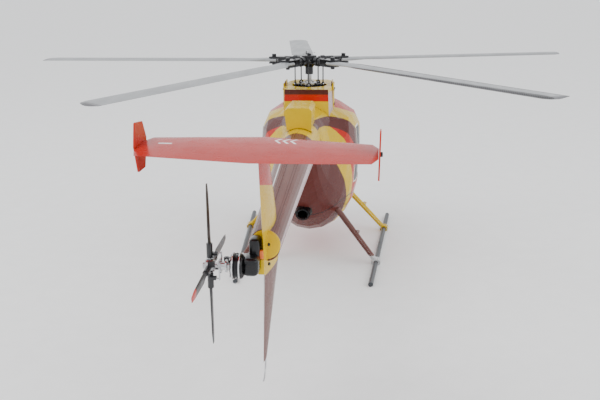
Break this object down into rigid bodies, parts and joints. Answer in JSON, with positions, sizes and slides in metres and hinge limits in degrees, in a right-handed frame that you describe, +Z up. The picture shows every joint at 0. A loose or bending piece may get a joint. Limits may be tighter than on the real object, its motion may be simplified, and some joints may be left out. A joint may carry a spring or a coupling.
{
  "type": "remote control helicopter",
  "caption": "Radio-controlled scale helicopter: teardrop pod, multi-blade rotor head, tapered boom, T-tail with end plates and skid gear.",
  "frame": {"origin": "middle of the box round the whole model, at the height of the floor under the skids", "axes": "+Z up, nose towards -Y, +X towards the aircraft's left"},
  "size_m": [0.9502, 1.1896, 0.36],
  "materials": {
    "aluminium": "machined",
    "battery_wrap": "shrink wrap",
    "black_metal": "black anodised",
    "black_plastic": "moulded",
    "blade_composite": "satin",
    "brown_paint": "gloss",
    "dark_tube": "dark satin",
    "maroon_paint": "gloss",
    "motor_can": "anodised",
    "red_paint": "gloss",
    "steel": "turned",
    "white_plastic": "moulded",
    "window": "dark, see-through, gloss",
    "yellow_paint": "gloss"
  },
  "bodies": {
    "airframe": {"pod": "maroon_paint", "rear_door_window_left": "window", "rear_door_window_right": "window", "exhaust": "black_metal", "mast_fairing": "yellow_paint", "rear_fairing": "yellow_paint", "tail_boom": "brown_paint", "fin": "red_paint", "ventral_fin": "brown_paint", "tailplane": "red_paint", "end_plate_left": "red_paint", "end_plate_right": "red_paint", "tail_skid": "black_metal", "skid_left": "dark_tube", "skid_right": "dark_tube", "front_leg_left": "yellow_paint", "front_leg_right": "yellow_paint", "rear_leg_left": "brown_paint", "rear_leg_right": "brown_paint", "main_frame": "black_plastic", "motor": "motor_can", "battery": "battery_wrap", "servo_1": "black_plastic", "servo_2": "black_plastic", "servo_3": "black_plastic", "tail_gearbox": "black_metal"},
    "cabin_front": {"cabin": "red_paint", "windscreen_left": "window", "windscreen_right": "window", "front_door_window_left": "window", "front_door_window_right": "window"},
    "main_rotor": {"mast": "steel", "rotor_hub": "black_metal", "main_gear": "white_plastic"},
    "motor_shaft": {"pinion": "steel"},
    "swash_lower": {"swashplate_fixed": "black_metal"},
    "swash_upper": {"swashplate_turning": "black_metal", "pitch_link_1": "black_plastic", "pitch_link_2": "black_plastic", "pitch_link_3": "black_plastic", "pitch_link_4": "black_plastic", "pitch_link_5": "black_plastic"},
    "tail_rotor": {"tail_hub": "steel"},
    "tail_pitch_slider": {"tail_slider": "aluminium"},
    "tail_bell_crank": {"tail_lever": "aluminium"},
    "grip_1": {"blade_grip_1": "black_plastic"},
    "blade_1": {"main_blade_1": "blade_composite"},
    "grip_2": {"blade_grip_2": "black_plastic"},
    "blade_2": {"main_blade_2": "blade_composite"},
    "grip_3": {"blade_grip_3": "black_plastic"},
    "blade_3": {"main_blade_3": "blade_composite"},
    "grip_4": {"blade_grip_4": "black_plastic"},
    "blade_4": {"main_blade_4": "blade_composite"},
    "grip_5": {"blade_grip_5": "black_plastic"},
    "blade_5": {"main_blade_5": "blade_composite"},
    "tail_blade_1": {"tail_blade_1": "black_plastic"},
    "tail_blade_2": {"tail_blade_2": "black_plastic"},
    "tail_blade_3": {"tail_blade_3": "black_plastic"},
    "tail_blade_4": {"tail_blade_4": "black_plastic"}
  },
  "joints": [
    {"name": "cabin_slide", "type": "slide", "parent": "airframe", "child": "cabin_front", "axis": [0, -1, 0], "range_m": [0, 0.2]},
    {"name": "main_rotor_spin", "type": "hinge", "parent": "airframe", "child": "main_rotor", "pos_m": [-0.01829, -0.09826, 0.347], "axis": [0, 0, -1], "continuous": true},
    {"name": "motor_spin", "type": "hinge", "parent": "airframe", "child": "motor_shaft", "pos_m": [-0.01829, -0.13356, 0.162], "axis": [0, 0, -1], "continuous": true},
    {"name": "collective_slide", "type": "slide", "parent": "airframe", "child": "swash_lower", "axis": [0, 0, 1], "range_m": [-0.0025, 0.0025]},
    {"name": "swashplate_spin", "type": "hinge", "parent": "swash_lower", "child": "swash_upper", "pos_m": [-0.01829, -0.09826, 0.3085], "axis": [0, 0, -1], "continuous": true},
    {"name": "blade_pitch_1", "type": "hinge", "parent": "main_rotor", "child": "grip_1", "pos_m": [-0.01474, -0.12805, 0.347], "axis": [-0.1184, 0.993, 0], "range_deg": [-9, 9]},
    {"name": "blade_fold_1", "type": "hinge", "parent": "grip_1", "child": "blade_1", "pos_m": [-0.01089, -0.16032, 0.347], "axis": [0, 0, 1], "range_deg": [-12, 12]},
    {"name": "blade_pitch_2", "type": "hinge", "parent": "main_rotor", "child": "grip_2", "pos_m": [0.01113, -0.10409, 0.347], "axis": [-0.981, 0.1942, 0], "range_deg": [-9, 9]},
    {"name": "blade_fold_2", "type": "hinge", "parent": "grip_2", "child": "blade_2", "pos_m": [0.04301, -0.1104, 0.347], "axis": [0, 0, 1], "range_deg": [-12, 12]},
    {"name": "blade_pitch_3", "type": "hinge", "parent": "main_rotor", "child": "grip_3", "pos_m": [-0.00366, -0.07207, 0.347], "axis": [-0.4879, -0.8729, 0], "range_deg": [-9, 9]},
    {"name": "blade_fold_3", "type": "hinge", "parent": "grip_3", "child": "blade_3", "pos_m": [0.0122, -0.0437, 0.347], "axis": [0, 0, 1], "range_deg": [-12, 12]},
    {"name": "blade_pitch_4", "type": "hinge", "parent": "main_rotor", "child": "grip_4", "pos_m": [-0.03868, -0.07625, 0.347], "axis": [0.6794, -0.7337, 0], "range_deg": [-9, 9]},
    {"name": "blade_fold_4", "type": "hinge", "parent": "grip_4", "child": "blade_4", "pos_m": [-0.06076, -0.0524, 0.347], "axis": [0, 0, 1], "range_deg": [-12, 12]},
    {"name": "blade_pitch_5", "type": "hinge", "parent": "main_rotor", "child": "grip_5", "pos_m": [-0.04553, -0.11084, 0.347], "axis": [0.9078, 0.4195, 0], "range_deg": [-9, 9]},
    {"name": "blade_fold_5", "type": "hinge", "parent": "grip_5", "child": "blade_5", "pos_m": [-0.07503, -0.12447, 0.347], "axis": [0, 0, 1], "range_deg": [-12, 12]},
    {"name": "tail_rotor_spin", "type": "hinge", "parent": "airframe", "child": "tail_rotor", "pos_m": [0.03771, 0.50374, 0.193], "axis": [1, 0, 0], "continuous": true},
    {"name": "tail_pitch_slide", "type": "slide", "parent": "tail_rotor", "child": "tail_pitch_slider", "axis": [1, 0, 0], "range_m": [-0.0012, 0.0012]},
    {"name": "tail_blade_pitch_1", "type": "hinge", "parent": "tail_rotor", "child": "tail_blade_1", "pos_m": [0.03771, 0.50374, 0.213], "axis": [0, 0, 1], "range_deg": [-9.6, 9.6]},
    {"name": "tail_blade_pitch_2", "type": "hinge", "parent": "tail_rotor", "child": "tail_blade_2", "pos_m": [0.03771, 0.48374, 0.193], "axis": [0, -1, 0], "range_deg": [-9.6, 9.6]},
    {"name": "tail_blade_pitch_3", "type": "hinge", "parent": "tail_rotor", "child": "tail_blade_3", "pos_m": [0.03771, 0.50374, 0.173], "axis": [0, 0, -1], "range_deg": [-9.6, 9.6]},
    {"name": "tail_blade_pitch_4", "type": "hinge", "parent": "tail_rotor", "child": "tail_blade_4", "pos_m": [0.03771, 0.52374, 0.193], "axis": [0, 1, 0], "range_deg": [-9.6, 9.6]},
    {"name": "tail_lever_turn", "type": "hinge", "parent": "airframe", "child": "tail_bell_crank", "pos_m": [0.02321, 0.48374, 0.193], "axis": [0, 0, -1], "range_deg": [-5.2, 5.2]}
  ],
  "couplings": [
    {"joint": "motor_spin", "follows": "main_rotor_spin", "ratio": -6},
    {"joint": "swashplate_spin", "follows": "main_rotor_spin", "ratio": 1},
    {"joint": "blade_pitch_1", "follows": "collective_slide", "rad_per_m": 62.5},
    {"joint": "blade_pitch_2", "follows": "collective_slide", "rad_per_m": 62.5},
    {"joint": "blade_pitch_3", "follows": "collective_slide", "rad_per_m": 62.5},
    {"joint": "blade_pitch_4", "follows": "collective_slide", "rad_per_m": 62.5},
    {"joint": "blade_pitch_5", "follows": "collective_slide", "rad_per_m": 62.5},
    {"joint": "tail_rotor_spin", "follows": "main_rotor_spin", "ratio": 4},
    {"joint": "tail_blade_pitch_1", "follows": "tail_pitch_slide", "rad_per_m": 137.93},
    {"joint": "tail_blade_pitch_2", "follows": "tail_pitch_slide", "rad_per_m": 137.93},
    {"joint": "tail_blade_pitch_3", "follows": "tail_pitch_slide", "rad_per_m": 137.93},
    {"joint": "tail_blade_pitch_4", "follows": "tail_pitch_slide", "rad_per_m": 137.93},
    {"joint": "tail_lever_turn", "follows": "tail_pitch_slide", "rad_per_m": 75.188}
  ]
}
